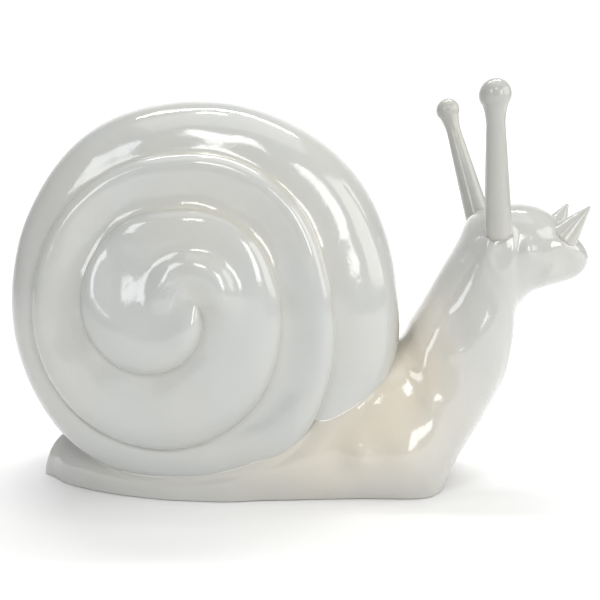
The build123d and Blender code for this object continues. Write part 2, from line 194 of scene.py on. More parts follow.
def skin_object(name, points, faces, painted_bounce, slot, nodes):
    """A smooth skin from a list of points and quads, riding on the body and standing for its nodes.
    Corners that share a place are one vertex, and a face with only one or two is left out."""
    places, shared = np.unique(points.round(place_decimals), axis=0, return_inverse=True)
    shared = shared.reshape(-1)
    distinct = [list(dict.fromkeys(face)) for face in shared[faces].tolist()]
    mesh = bpy.data.meshes.new(name)
    mesh.from_pydata(places.tolist(), [], [face for face in distinct if len(face) > 2])
    mesh.shade_smooth()
    first = np.zeros(len(places), int)
    first[shared[::-1]] = np.arange(len(points))[::-1]
    # Painted bounce light, as a share of cream, kept on each point for the gelcoat
    layer = mesh.attributes.new("painted_bounce", "FLOAT", "POINT")
    layer.data.foreach_set("value", painted_bounce[first].astype(np.float32))
    mesh.materials.append(finishes[slot])
    piece = bpy.data.objects.new(name, mesh)
    bpy.context.scene.collection.objects.link(piece)
    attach(piece, "root")
    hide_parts(*nodes)


def quads(rows, columns, first=0, turned=False):
    """Corner numbers of the cells of a grid whose points are listed row by row."""
    corner = first + np.arange(rows - 1)[:, None] * columns + np.arange(columns - 1)
    cells = np.stack([corner, corner + columns, corner + columns + 1, corner + 1], axis=-1)
    cells = cells.reshape(-1, 4)
    return cells[:, ::-1] if turned else cells


# Slow unevenness of a hand-laid surface: for each wave its radians per metre along x and z, its
# start and its share of the lift
hand_wave_table = [
    (61, 23, 0.7, 1.0), (-37, 71, 2.1, 1.0), (113, 59, 4.0, 0.6), (83, -127, 1.3, 0.5)]
hand_wave_lift = 0.00035


def hand_waves(x, z):
    """Height over the side from the crossing waves: the lift times the sum of each wave's
    share * sin(by_x * x + by_z * z + start)."""
    return hand_wave_lift * sum(
        share * np.sin(by_x * x + by_z * z + start) for by_x, by_z, start, share in hand_wave_table)


def bell_along(x, z, line, lifts, widths):
    """Height over the side from a raised or sunk line: lift * exp(-(far / width) ** 2), far from
    the nearest stretch of the line, with the lift and the width that the line has there."""
    line = np.array(line)
    start, run = line[:-1], np.diff(line, axis=0)
    point = np.stack([x, z], axis=-1)[..., None, :]
    share = np.clip(((point - start) * run).sum(-1) / (run ** 2).sum(-1), 0, 1)
    far = np.linalg.norm(point - start - share[..., None] * run, axis=-1)
    near = far.argmin(axis=-1)[..., None]
    far, share = (np.take_along_axis(value, near, axis=-1)[..., 0] for value in (far, share))
    near = near[..., 0]
    lift, width = (table[near] + (table[near + 1] - table[near]) * share
                   for table in (np.array(lifts), np.array(widths)))
    return lift * np.exp(-(far / width) ** 2)


def lumps_at(x, z, lumps):
    """Height over the side from round swellings: the sum of lift * exp(-(far / radius) ** 2)."""
    at_x, at_z, radius, lift = np.array(lumps).T
    far = (x[..., None] - at_x) ** 2 + (z[..., None] - at_z) ** 2
    return (lift * np.exp(-far / radius ** 2)).sum(axis=-1)


# Hollow along the last of the suture, from below the core round into the hub: x and z
hub_hollow = [
    (-0.152, 0.134), (-0.132, 0.133), (-0.113, 0.144), (-0.098, 0.162), (-0.094, 0.182),
    (-0.096, 0.199), (-0.104, 0.213), (-0.115, 0.222), (-0.124, 0.222)]
hub_hollow_lifts = [0.0, 0.0, -0.0004, -0.0014, -0.0034, -0.0050, -0.0040, -0.0016, 0.0]
hub_hollow_widths = [0.008, 0.008, 0.010, 0.012, 0.013, 0.014, 0.015, 0.015, 0.015]
# Knob of the hub, where the coil begins: a low plateau whose rim falls off steeply
knob_x = -0.1025
knob_z = 0.213
knob_radius = 0.038
knob_steepness = 6
knob_level = 0.1055
knob_none_z = 0.186
knob_full_z = 0.212
# Swellings and hollows of the core: x, z, radius, lift
core_lumps = [
    (-0.179, 0.248, 0.028, -0.0070), (-0.177, 0.219, 0.020, -0.0034),
    (-0.024, 0.226, 0.020, -0.0015)]


def knob_at(x, z):
    """Share of the way to the knob's level over the side: exp(-(far / radius) ** steepness), let
    go smoothly below the hub."""
    far = np.hypot(x - knob_x, z - knob_z)
    hold = np.clip((z - knob_none_z) / (knob_full_z - knob_none_z), 0, 1)
    return np.exp(-(far / knob_radius) ** knob_steepness) * eased(hold)


# Shell
def shell_sections():
    """Radius and depth of the seven control points across the band, every 30 degrees, with the
    slopes of both. The track is the rim, then the suture, then the hub's edge, which runs to the
    middle."""
    suture_radius = shell_radius * np.array(suture_radius_shares)
    suture_depth = shell_half_depth * np.array(suture_depth_shares)
    to_middle = suture_radius[-1] * (1 - np.arange(1, turn_steps + 1) / turn_steps) ** 3
    radius = np.concatenate([shell_radius * np.array(rim_radius_shares), suture_radius, to_middle])
    depth = np.concatenate([
        np.zeros(turn_steps), suture_depth, np.full(turn_steps, suture_depth[-1])])
    radius_slope, depth_slope = np.gradient(radius), np.gradient(depth)
    steps = np.diff(depth)
    depth_slope[1:-1][steps[1:] * steps[:-1] <= 0] = 0

    count = len(radius) - turn_steps
    angle = first_angle + np.arange(count) * step_angle
    lean = np.minimum(1, lean_gain * (1 + np.cos(angle - lean_angle)))
    outer_radius, inner_radius = radius[:count], radius[turn_steps:]
    outer_depth, inner_depth = depth[:count], depth[turn_steps:]
    width = inner_radius - outer_radius
    fade = np.minimum(1, -width / full_band_width)
    sunk = np.clip(outer_depth / suture_depth[first_band_step], 0, 1)[:, None]
    shoulder = ((shoulder_height + shoulder_lift * (1 - lean)) * fade)[:, None]
    valley = shoulder_lift * (1 - lean) / 2 - valley_drop * lean * fade
    rise = (rim_height + rim_lift * (1 - lean))[:, None] * rim_rise_shares * (1 - sunk)
    rise = rise + shoulder * band_rise_shares * sunk
    share = rim_place_shares * (1 - sunk) + band_place_shares * sunk
    section = np.zeros((count, len(band_place_shares), 2))
    section[:, :, 0] = outer_radius[:, None] + width[:, None] * share
    section[:, rising, 1] = outer_depth[:, None] + rise
    section[:, sinking, 1] = inner_depth[:, None] + valley[:, None] * valley_shares
    section[:, -1, 1] = inner_depth
    section[:turn_steps, sinking, 0] += width[:turn_steps, None] * ramp_place_gains
    section[:turn_steps, sinking, 1] -= valley[:turn_steps, None] * ramp_valley_cuts
    for end in (0, -1):
        section[end, :, 0] = outer_radius[end] + width[end] * band_place_shares
        section[end, :, 1] = outer_depth[end]
    slopes = np.gradient(section, axis=0)
    track_slopes = np.stack([radius_slope, depth_slope], axis=1)
    slopes[:, 0] = track_slopes[:count]
    slopes[:, -1] = track_slopes[turn_steps:]
    return section, slopes


# Painted bounce light in the shell's creases, as cream: most at one angle round the shell, at least
# a share of it all round, fading across the band from both edges, and none on the inner edge from
# the core's step on
painted_bounce_angle = math.pi / 4
painted_bounce_least = 0.35
inner_fade_rate = 6
outer_fade_rate = 16
core_step = 27.0


def shell_skin(name, node, side, rows_per_step=14, columns=61, cap_rings=7):
    """One side of the shell: turn angle along the rows, the way across the band along the columns.
    The band's inner edge is the outer edge of the band one turn further in. Rings that shrink
    evenly to the hub's middle cap what is left open."""
    section, slopes = shell_sections()
    rows = (len(section) - 1) * rows_per_step + 1
    turn = np.arange(rows) / rows_per_step
    way = np.broadcast_to(spaced(columns, shell_gather), (rows, columns))
    grid = across(along(section, slopes, turn), way)
    radius, depth = grid[..., 0], grid[..., 1]
    angle = (first_angle + turn * step_angle)[:, None]
    x = shell_hub_x + radius * np.cos(angle) - middle_x
    z = shell_hub_z + radius * np.sin(angle)
    relief = hand_waves(x, z) + lumps_at(x, z, core_lumps)
    relief += bell_along(x, z, hub_hollow, hub_hollow_lifts, hub_hollow_widths)
    relief += (knob_level - depth) * knob_at(x, z)
    depth = depth + relief * np.clip(depth / whole_relief_depth, 0, 1)
    z = np.maximum(z, deck_top)
    points = np.stack([x, side * depth, z], axis=-1)

    turn = turn[:, None]
    # Painted bounce light in the creases, as a share of cream
    painted_bounce = np.exp(-(1 - way) * inner_fade_rate) * (turn < core_step)
    painted_bounce += np.exp(-way * outer_fade_rate) * (turn > turn_steps)
    painted_bounce *= painted_bounce_least + (1 - painted_bounce_least) * np.clip(np.cos(angle - painted_bounce_angle), 0, 1)

    last_turn = points[-turn_steps * rows_per_step - 1:, -1]
    edge = np.concatenate([last_turn, points[-1, ::-1]])
    hub = np.array([shell_hub_x - middle_x, edge[:, 1].mean(), shell_hub_z])
    cap = hub + (edge[:, None] - hub) * np.linspace(1, 0, cap_rings)[:, None]
    faces = np.concatenate([
        quads(rows, columns, turned=side > 0),
        quads(len(edge), cap_rings, rows * columns, turned=side > 0)])
    points = np.concatenate([points.reshape(-1, 3), cap.reshape(-1, 3)])
    painted_bounce = np.concatenate([painted_bounce.reshape(-1), np.zeros(len(edge) * cap_rings)])
    skin_object(name, points, faces, painted_bounce, "gelcoat_shell", [node])


# Body
def body_sections(inset):
    """Control points of the body's sections, round from the back to the belly."""
    back_x, back_z, belly_x, belly_z, width, corner, quarter = body_section_shares.T
    zero = np.zeros_like(back_x)
    back = np.stack([figure_length * back_x - middle_x, zero, body_height * back_z], axis=-1)
    belly = np.stack([figure_length * belly_x - middle_x, zero, body_height * belly_z], axis=-1)
    down = (belly - back) / np.linalg.norm(belly - back, axis=1, keepdims=True)
    back, belly = back + down * inset, belly - down * inset
    half_width = foot_half_width * width - inset
    closing = (np.abs(quarter) == 1)[:, None]
    endways = -np.sin(quarter * np.pi / 2) * half_width
    sideways = np.where(closing[:, 0], 0, np.cos(quarter * np.pi / 2) * half_width)
    place = np.where(closing, closing_place_shares, girth_place_shares)
    girth = girth_width_shares + corner[:, None] * corner_width_shares
    bulge = np.where(closing, girth, girth * bulge_places)
    control = back[:, None] + (belly - back)[:, None] * place[..., None]
    control[..., 0] += endways[:, None] * bulge
    control[..., 1] += sideways[:, None] * girth
    slopes = np.gradient(control, axis=0)
    for end in (0, -1):
        slopes[end, 1:-1, 0] = 0
        slopes[end, 1:-1, 2] = 0
    return control, slopes


def body_rows(inset, places, ways):
    """Points of the body: along it by sections, round it by ways from the back to the belly."""
    control, slopes = body_sections(inset)
    return across(along(control, slopes, places), ways)


def way_down_to(height, inset, places, cells=240):
    """The way round the body at which it comes down to a height, or 1 where it stays above: the
    first of the even cells that ends below the height, shared out in a straight line."""
    ways = np.broadcast_to(np.linspace(0, 1, cells + 1), (len(places), cells + 1))
    z = body_rows(inset, places, ways)[..., 2]
    low = z < height
    reached = low.any(axis=1)
    cell = np.clip(np.argmax(low, axis=1), 1, cells)
    row = np.arange(len(places))
    above, below = z[row, cell - 1], z[row, cell]
    part = (above - height) / np.where(reached, above - below, 1)
    return np.where(reached, (cell - 1 + part) / cells, 1.0)


# Soft ridge down the neck's side from the stalk to the foot: x and z
neck_ridge = [
    (0.188, 0.270), (0.178, 0.254), (0.171, 0.232), (0.164, 0.208), (0.155, 0.183),
    (0.1455, 0.156), (0.1315, 0.118), (0.120, 0.104), (0.106, 0.072), (0.080, 0.040)]
neck_ridge_lifts = [
    0.0084, 0.0088, 0.0066, 0.0020, -0.0006, -0.0010, -0.0004, 0.0006, 0.0008, 0.0]
neck_ridge_widths = [0.015, 0.015, 0.016, 0.016, 0.015, 0.014, 0.014, 0.016, 0.018, 0.022]
# Swellings of the head, neck and foot: x, z, radius, lift
body_lumps = [
    (0.2215, 0.2480, 0.0080, 0.0024), (0.2730, 0.2480, 0.0095, 0.0040),
    (0.2485, 0.2285, 0.0065, 0.0024), (0.2600, 0.2550, 0.0110, 0.0050),
    (0.1490, 0.1500, 0.0095, 0.0022), (0.1260, 0.1035, 0.0085, 0.0020),
    (0.0980, 0.0500, 0.0240, 0.0062), (0.0560, 0.0500, 0.0140, 0.0060),
    (0.1260, 0.1720, 0.0220, 0.0070), (0.1100, 0.1440, 0.0200, 0.0050)]
# Soft groove round the foot, just above the skirt
edge_groove_height = 0.003
edge_groove_width = 0.014
edge_groove_depth = 0.0022
# Fullness of the foot's side below the shell: x and z
foot_swell = [
    (-0.262, 0.034), (-0.200, 0.032), (-0.140, 0.028), (-0.080, 0.028), (-0.020, 0.038),
    (0.030, 0.048)]
foot_swell_lifts = [0.0, 0.0014, 0.0022, 0.0022, 0.0014, 0.0]
foot_swell_widths = [0.013] * len(foot_swell)
# Filled bond round a stalk's foot
bond_lift = 0.0022
bond_width = 0.0035


def bond_at(x, y, z):
    """Height of the filled bond round a stalk's foot, off from the stalk's axis:
    lift * exp(-((off - root) / width) ** 2), and the whole lift inside the root's circle."""
    foot, ball = placed(stalk_foot, 1), placed(right_ball, 1)
    up = (ball - foot) / np.linalg.norm(ball - foot)
    point = np.stack([x, y, z], axis=-1) - foot
    off = np.linalg.norm(point - (point @ up)[..., None] * up, axis=-1)
    return bond_lift * np.exp(-(np.clip(off - right_stalk_root, 0, None) / bond_width) ** 2)


def shell_depth_over(x, z, rows_per_step=12, columns=61, radii=260, reach=1.3, hair=0.001):
    """Depth of the shell's two outer turns over points of the side: a table by angle and radius
    round the hub, read between its entries; far below nothing outside the rim. The radii end at
    reach times the shell's, and a point past the table is read a hair inside its last entries."""
    section, slopes = shell_sections()
    turn = np.arange(2 * turn_steps * rows_per_step + 1) / rows_per_step
    way = np.broadcast_to(np.linspace(0, 1, columns), (len(turn), columns))
    grid = across(along(section, slopes, turn), way)
    half = turn_steps * rows_per_step
    profile = np.concatenate([grid[:half + 1], grid[half:]], axis=1)[:, ::-1]
    places = np.linspace(0, reach * shell_radius, radii)
    table = np.array([
        np.interp(places, row[:, 0], row[:, 1], right=-shell_radius) for row in profile])

    off_x, off_z = x + middle_x - shell_hub_x, z - shell_hub_z
    row = (np.arctan2(off_z, off_x) - first_angle) % (2 * np.pi) / step_angle * rows_per_step
    column = np.clip(np.hypot(off_x, off_z) / places[1], 0, radii - 1 - hair)
    row = np.clip(row, 0, half - hair)
    i, j = row.astype(int), column.astype(int)
    u, v = row - i, column - j
    return ((table[i, j] * (1 - u) + table[i + 1, j] * u) * (1 - v)
            + (table[i, j + 1] * (1 - u) + table[i + 1, j + 1] * u) * v)


# Seam between body and shell: its fillet, how far inside the shell the body is let go and over what
# depth, both as shares of the fillet, and where the seam is whole and where it has ended, by
# height in the V of the neck and by x along the tail
seam_fillet = 0.009
seam_gone_share = 0.9
seam_going_share = 0.6
seam_full_height = 0.095
seam_none_height = 0.125
seam_none_x = -0.235
seam_full_x = -0.190


def seam_at(x, y, z):
    """How far the body swells up to the shell along their seam: the rounded greater of the two
    depths less the body's own, let go again just inside the shell, up the V of the neck and along
    the tail. The rounding adds share ** 2 * fillet / 4, its share falling from 1 where the depths
    meet to 0 where they are a fillet apart."""
    over = shell_depth_over(x, z) - y
    share = np.clip(1 - np.abs(over) / seam_fillet, 0, 1)
    swell = np.clip(over, 0, seam_fillet) + share ** 2 * seam_fillet / 4
    hold = (seam_gone_share * seam_fillet - over) / (seam_going_share * seam_fillet)
    low = np.clip((seam_none_height - z) / (seam_none_height - seam_full_height), 0, 1)
    ahead = np.clip((x - seam_none_x) / (seam_full_x - seam_none_x), 0, 1)
    return swell * eased(np.clip(hold, 0, 1)) * low * ahead


# Painted bounce light off the shell onto the body, as cream: from the V below the neck along the
# shell, x and z
painted_bounce_line = [
    (0.135, 0.190), (0.105, 0.130), (0.075, 0.085), (0.020, 0.060), (-0.060, 0.040),
    (-0.200, 0.035)]
painted_bounce_shares = [0.6, 1.6, 1.7, 1.1, 0.6, 0.4]
painted_bounce_widths = [0.030, 0.042, 0.048, 0.045, 0.035, 0.030]


def body_skin(name, node, side, rows_per_step=16, columns=97, lip_rows=9):
    """One side of the body: sections along the rows, the way from the back down to the skirt or the
    belly along the columns, and inside the foot a lip of the wall's thickness."""
    rows = (len(body_section_shares) - 1) * rows_per_step + 1
    places = np.arange(rows) / rows_per_step
    end = way_down_to(skirt_height, 0, places)
    ways = end[:, None] * spaced(columns, body_gather)
    outer = body_rows(0, places, ways)
    x, y, z = outer[..., 0], outer[..., 1], outer[..., 2]
    swell = hand_waves(x, z) + bell_along(x, z, neck_ridge, neck_ridge_lifts, neck_ridge_widths)
    swell += bell_along(x, z, foot_swell, foot_swell_lifts, foot_swell_widths)
    swell += lumps_at(x, z, body_lumps) + bond_at(x, y, z)
    swell -= edge_groove_depth * np.exp(-((z - edge_groove_height) / edge_groove_width) ** 2)
    y = y + swell * np.clip(y / whole_relief_depth, 0, 1)
    y = y + seam_at(x, y, z)
    outer = np.stack([x, side * y, z], axis=-1)

    foot_rows = int(np.argmax(end > whole_way)) + 1
    foot = places[:foot_rows]
    low = way_down_to(skirt_height, body_wall, foot)
    high = way_down_to(board_hidden_height, body_wall, foot)
    lip_ways = low[:, None] + (high - low)[:, None] * np.linspace(0, 1, lip_rows)
    inner = body_rows(body_wall, foot, lip_ways)
    inner[..., 1] *= side
    lip = np.concatenate([outer[:foot_rows, -1:], inner], axis=1)

    points = np.concatenate([outer.reshape(-1, 3), lip.reshape(-1, 3)])
    faces = np.concatenate([
        quads(rows, columns, turned=side < 0),
        quads(foot_rows, lip_rows + 1, rows * columns, turned=side < 0)])
    # Painted bounce light off the shell, as a share of cream
    painted_bounce = bell_along(points[:, 0], points[:, 2], painted_bounce_line, painted_bounce_shares, painted_bounce_widths)
    skin_object(name, points, faces, painted_bounce, "gelcoat_body", [node])


# Stalks and feelers
def turned_points(foot, tip, lengths, radii, around):
    """Rings round the line from foot to tip: one at each length, of the radius given there."""
    up = (tip - foot) / np.linalg.norm(tip - foot)
    across_axis = np.cross(up, (0.0, 1.0, 0.0))
    across_axis /= np.linalg.norm(across_axis)
    third = np.cross(up, across_axis)
    turn = np.linspace(0, 2 * np.pi, around + 1)
    turn[-1] = 0
    ring = np.cos(turn)[:, None] * across_axis + np.sin(turn)[:, None] * third
    return foot + up * lengths[:, None, None] + ring * radii[:, None, None]


# Share of painted bounce light, as cream, at the very foot of a stalk or feeler
painted_bounce_at_foot = 0.5


def casting_skin(name, node, foot, tip, lengths, radii, around, painted_bounce_length):
    """A turned casting with painted bounce light round its foot, as cream: the foot's share *
    exp(-length / the fade's length).
    """
    points = turned_points(foot, tip, lengths, radii, around)
    rows, columns = points.shape[:2]
    # Painted bounce light where the casting meets the head, as a share of cream
    painted_bounce = painted_bounce_at_foot * np.exp(-np.repeat(np.abs(lengths), columns) / painted_bounce_length)
    skin_object(
        name, points.reshape(-1, 3), quads(rows, columns), painted_bounce, "gelcoat_casting", [node])


def eye_stalk(name, node, ball, ball_radius, root_radius, tip_radius, side,
              stalk_rings=90, ball_rings=28):
    """A tapered stalk with a hollow neck below its ball. Radius up the stalk: a straight taper,
    then a step out to the ball that grows with its square, then the ball's own circle."""
    foot, ball = placed(stalk_foot, side), placed(ball, side)
    reach = np.linalg.norm(ball - foot)
    below = np.linspace(0, reach - ball_radius * ball_start, stalk_rings)
    taper = root_radius + (tip_radius - root_radius) * below / (reach - ball_radius - taper_stop)
    taper = np.maximum(taper, tip_radius)
    step = below - (reach - ball_radius - neck_start)
    step = np.clip(step / (neck_start + (1 - ball_start) * ball_radius), 0, 1)
    start_radius = ball_radius * math.sqrt(1 - ball_start ** 2)
    lower = taper + (start_radius - tip_radius) * step ** 2
    turn = np.linspace(-math.asin(ball_start), math.pi / 2, ball_rings)[1:]
    lengths = np.concatenate([[-stalk_in_head] * 2, below[1:], reach + ball_radius * np.sin(turn)])
    radii = np.concatenate([[0, root_radius], lower[1:], ball_radius * np.cos(turn)])
    casting_skin(name, node, foot, ball, lengths, radii, around=72, painted_bounce_length=0.02)


def feeler(name, node, tip, tip_radius, side, cone_rings=40, tip_rings=9):
    """A short cone with a rounded tip. Radius up the feeler: a straight taper, then the tip's own
    circle."""
    foot, tip = placed(feeler_foot, side), placed(tip, side)
    reach = np.linalg.norm(tip - foot) - tip_radius
    s = np.linspace(0, 1, cone_rings)
    turn = np.linspace(0, math.pi / 2, tip_rings)[1:]
    lengths = np.concatenate([[-feeler_in_head] * 2, s * reach, reach + tip_radius * np.sin(turn)])
    cone = feeler_root + (tip_radius - feeler_root) * s
    radii = np.concatenate([[0, feeler_root], cone, tip_radius * np.cos(turn)])
    casting_skin(name, node, foot, tip, lengths, radii, around=48, painted_bounce_length=0.01)


# Finishes
def new_finish(name):
    """A new material with its node tree, its shader and the places on the object."""
    material = bpy.data.materials.new(name)
    material.use_nodes = True
    tree = material.node_tree
    place = tree.nodes.new("ShaderNodeTexCoord").outputs["Object"]
    return material, tree, tree.nodes["Principled BSDF"], place


def grey(value):
    """A colour with the same value in all three parts."""
    return (value, value, value, 1)


def shaded(colour, share):
    """A colour brought down to a share of itself."""
    return tuple(share * value for value in colour[:3]) + (1,)


def node_of(tree, kind, **settings):
    """A new node with its inputs and its other settings filled in by name."""
    node = tree.nodes.new(kind)
    for label, value in settings.items():
        if label in node.inputs:
            node.inputs[label].default_value = value
        else:
            setattr(node, label, value)
    return node


def fill(tree, socket, value):
    """Gives a socket what another node puts out, or else a plain value."""
    if hasattr(value, "is_linked"):
        tree.links.new(value, socket)
    else:
        socket.default_value = value


def noise_over(tree, place, scale, detail=3.0, roughness=0.5):
    """Noise between 0 and 1 over the places, finer for a greater scale."""
    noise = node_of(tree, "ShaderNodeTexNoise", Scale=scale, Detail=detail, Roughness=roughness)
    tree.links.new(place, noise.inputs["Vector"])
    return noise.outputs["Fac"]


def ramp_of(tree, value, start, end, first, last):
    """The first colour up to the start of a value, the last from its end on, even between."""
    ramp = tree.nodes.new("ShaderNodeValToRGB")
    for element, stop in zip(ramp.color_ramp.elements, ((start, first), (end, last))):
        element.position, element.color = stop
    tree.links.new(value, ramp.inputs["Fac"])
    return ramp.outputs["Color"]


# Sockets of the mix node when it mixes colours: factor, first and second colour, and the result
mix_factor = 0
mix_first = 6
mix_second = 7
mix_result = 2


def mixed(tree, share, first, second):
    """The first colour where the share is 0, the second where it is 1."""
    mix = node_of(tree, "ShaderNodeMix", data_type="RGBA")
    fill(tree, mix.inputs[mix_factor], share)
    fill(tree, mix.inputs[mix_first], first)
    fill(tree, mix.inputs[mix_second], second)
    return mix.outputs[mix_result]


def worked(tree, operation, *values):
    """Sockets or numbers worked together by one operation."""
    step = node_of(tree, "ShaderNodeMath", operation=operation)
    for value, socket in zip(values, step.inputs):
        fill(tree, socket, value)
    return step.outputs[0]


def bumped(tree, shader, height, strength, distance):
    """Gives a shader the fine relief of a height."""
    bump = node_of(tree, "ShaderNodeBump", Strength=strength, Distance=distance)
    tree.links.new(height, bump.inputs["Height"])
    tree.links.new(bump.outputs["Normal"], shader.inputs["Normal"])


# Gelcoat: shares of cream from painted bounce light in the creases and from clouds, the pinholes'
# size, rareness, darkness and colour, and the heights of sags and pinholes over the orange peel
painted_bounce_cream = 0.45
cloud_cream = 0.28
pinhole_size = 0.035
pinhole_rareness = 0.66
pinhole_share = 0.5
pinhole_colour = (0.35, 0.30, 0.22, 1)
sag_height = 6.0
pinhole_height = -1.5
coat_roughness = 0.07
gelcoat_ior = 1.5


def gelcoat(name, plain, cream, roughness, coat):
    """Thick off-white gloss gelcoat: cream painted in as bounce light in the creases and along the
    seams, real cream in faint clouds, orange peel over soft sags, and a few pinholes."""
    material, tree, shader, place = new_finish(name)
    # Share of cream that stands for painted bounce light, read from the skins' attribute
    painted_bounce = node_of(tree, "ShaderNodeAttribute", attribute_name="painted_bounce").outputs["Fac"]
    clouds = noise_over(tree, place, scale=7.0, detail=3.0, roughness=0.55)
    cloudy = ramp_of(tree, clouds, start=0.42, end=0.72, first=grey(0), last=grey(1))
    cloudy = worked(tree, "MULTIPLY", cloudy, cloud_cream)
    share = worked(tree, "MULTIPLY_ADD", painted_bounce, painted_bounce_cream, cloudy)
    colour = mixed(tree, worked(tree, "MINIMUM", share, 1.0), plain, cream)

    cells = node_of(tree, "ShaderNodeTexVoronoi", Scale=85.0, feature="F1")
    tree.links.new(place, cells.inputs["Vector"])
    near = worked(tree, "LESS_THAN", cells.outputs["Distance"], pinhole_size)
    sparse = noise_over(tree, place, scale=19.0, detail=2.0)
    pit = worked(tree, "MULTIPLY", near, worked(tree, "GREATER_THAN", sparse, pinhole_rareness))
    colour = mixed(tree, worked(tree, "MULTIPLY", pit, pinhole_share), colour, pinhole_colour)
    tree.links.new(colour, shader.inputs["Base Color"])

    patches = noise_over(tree, place, scale=31.0, detail=4.0, roughness=0.6)
    least, most = grey(roughness), grey(2 * roughness)
    dull = ramp_of(tree, patches, start=0.35, end=0.75, first=least, last=most)
    tree.links.new(dull, shader.inputs["Roughness"])
    shader.inputs["Coat Weight"].default_value = coat
    shader.inputs["Coat Roughness"].default_value = coat_roughness
    shader.inputs["IOR"].default_value = gelcoat_ior

    peel = noise_over(tree, place, scale=330.0, detail=2.0, roughness=0.4)
    sags = noise_over(tree, place, scale=45.0, detail=2.0, roughness=0.5)
    height = worked(tree, "MULTIPLY_ADD", sags, sag_height, peel)
    height = worked(tree, "MULTIPLY_ADD", pit, pinhole_height, height)
    bumped(tree, shader, height, strength=0.35, distance=0.00025)
    return material


# Metal: the stretch of its scratches along x, y and z, and how its roughness varies
scratch_stretch = (1.0, 1.0, 14.0)
least_dull = 0.7
most_dull = 1.5


def metal(name, colour, roughness, scratch_scale):
    """Metal with fine drawn scratches across its length and darker patches."""
    material, tree, shader, place = new_finish(name)
    stretch = node_of(tree, "ShaderNodeMapping", Scale=scratch_stretch)
    tree.links.new(place, stretch.inputs["Vector"])
    stretched = stretch.outputs["Vector"]
    scratches = noise_over(tree, stretched, scratch_scale, detail=5.0, roughness=0.7)
    patches = noise_over(tree, place, scale=60.0, detail=3.0, roughness=0.5)
    darker = shaded(colour, share=0.62)
    tree.links.new(mixed(tree, patches, colour, darker), shader.inputs["Base Color"])
    least, most = grey(roughness * least_dull), grey(roughness * most_dull)
    dull = ramp_of(tree, scratches, start=0.3, end=0.7, first=least, last=most)
    tree.links.new(dull, shader.inputs["Roughness"])
    shader.inputs["Metallic"].default_value = 1.0
    bumped(tree, shader, scratches, strength=0.25, distance=0.0001)
    return material


# Shares of the dark colour that timber takes from its rings and its pores
ring_share = 0.3
pore_share = 0.9


def timber(name, pale, dark, ring_scale, grain):
    """Wood with growth rings stretched along the grain and short dark pores."""
    material, tree, shader, place = new_finish(name)
    stretch = node_of(tree, "ShaderNodeMapping", Scale=grain)
    tree.links.new(place, stretch.inputs["Vector"])
    stretched = stretch.outputs["Vector"]
    wander = noise_over(tree, stretched, scale=9.0, detail=3.0, roughness=0.6)
    rings = worked(tree, "SINE", worked(tree, "MULTIPLY", wander, ring_scale))
    pores = noise_over(tree, stretched, scale=160.0, detail=4.0, roughness=0.7)
    porous = worked(tree, "MULTIPLY", pores, pore_share)
    share = worked(tree, "MULTIPLY_ADD", rings, ring_share, porous)
    tree.links.new(mixed(tree, share, pale, dark), shader.inputs["Base Color"])
    shader.inputs["Roughness"].default_value = 0.62
    bumped(tree, shader, pores, strength=0.3, distance=0.0003)
    return material


def rubber(name, colour, dust=0.08):
    """Moulded rubber with a fine matt grain and a bloom that is paler by the dust on it."""
    material, tree, shader, place = new_finish(name)
    bloom = noise_over(tree, place, scale=55.0, detail=4.0, roughness=0.65)
    dusty = tuple(dust + value for value in colour[:3]) + (1,)
    tree.links.new(mixed(tree, bloom, colour, dusty), shader.inputs["Base Color"])
    shader.inputs["Roughness"].default_value = 0.78
    grain = noise_over(tree, place, scale=900.0, detail=2.0)
    bumped(tree, shader, grain, strength=0.3, distance=0.0001)
    return material


def clear_resin(name, colour):
    """Cast resin, matt where it was poured, with clouds and small bubbles."""
    material, tree, shader, place = new_finish(name)
    clouds = noise_over(tree, place, scale=26.0, detail=4.0, roughness=0.6)
    darker = shaded(colour, share=0.55)
    tree.links.new(mixed(tree, clouds, colour, darker), shader.inputs["Base Color"])
    shader.inputs["Roughness"].default_value = 0.45
    bubbles = node_of(tree, "ShaderNodeTexVoronoi", Scale=240.0)
    tree.links.new(place, bubbles.inputs["Vector"])
    bumped(tree, shader, bubbles.outputs["Distance"], strength=0.25, distance=0.0004)
    return material


def glass_tape(name, colour):
    """Woven glass tape wetted with resin: two crossing waves make the weave."""
    material, tree, shader, place = new_finish(name)
    threads = []
    for direction in ("X", "Z"):
        wave = node_of(
            tree, "ShaderNodeTexWave", Scale=260.0, Distortion=1.5, bands_direction=direction)
        tree.links.new(place, wave.inputs["Vector"])
        threads.append(wave.outputs["Fac"])
    weave = worked(tree, "MULTIPLY", *threads)
    darker = shaded(colour, share=0.7)
    tree.links.new(mixed(tree, weave, darker, colour), shader.inputs["Base Color"])
    shader.inputs["Roughness"].default_value = 0.4
    bumped(tree, shader, weave, strength=0.5, distance=0.0004)
    return material


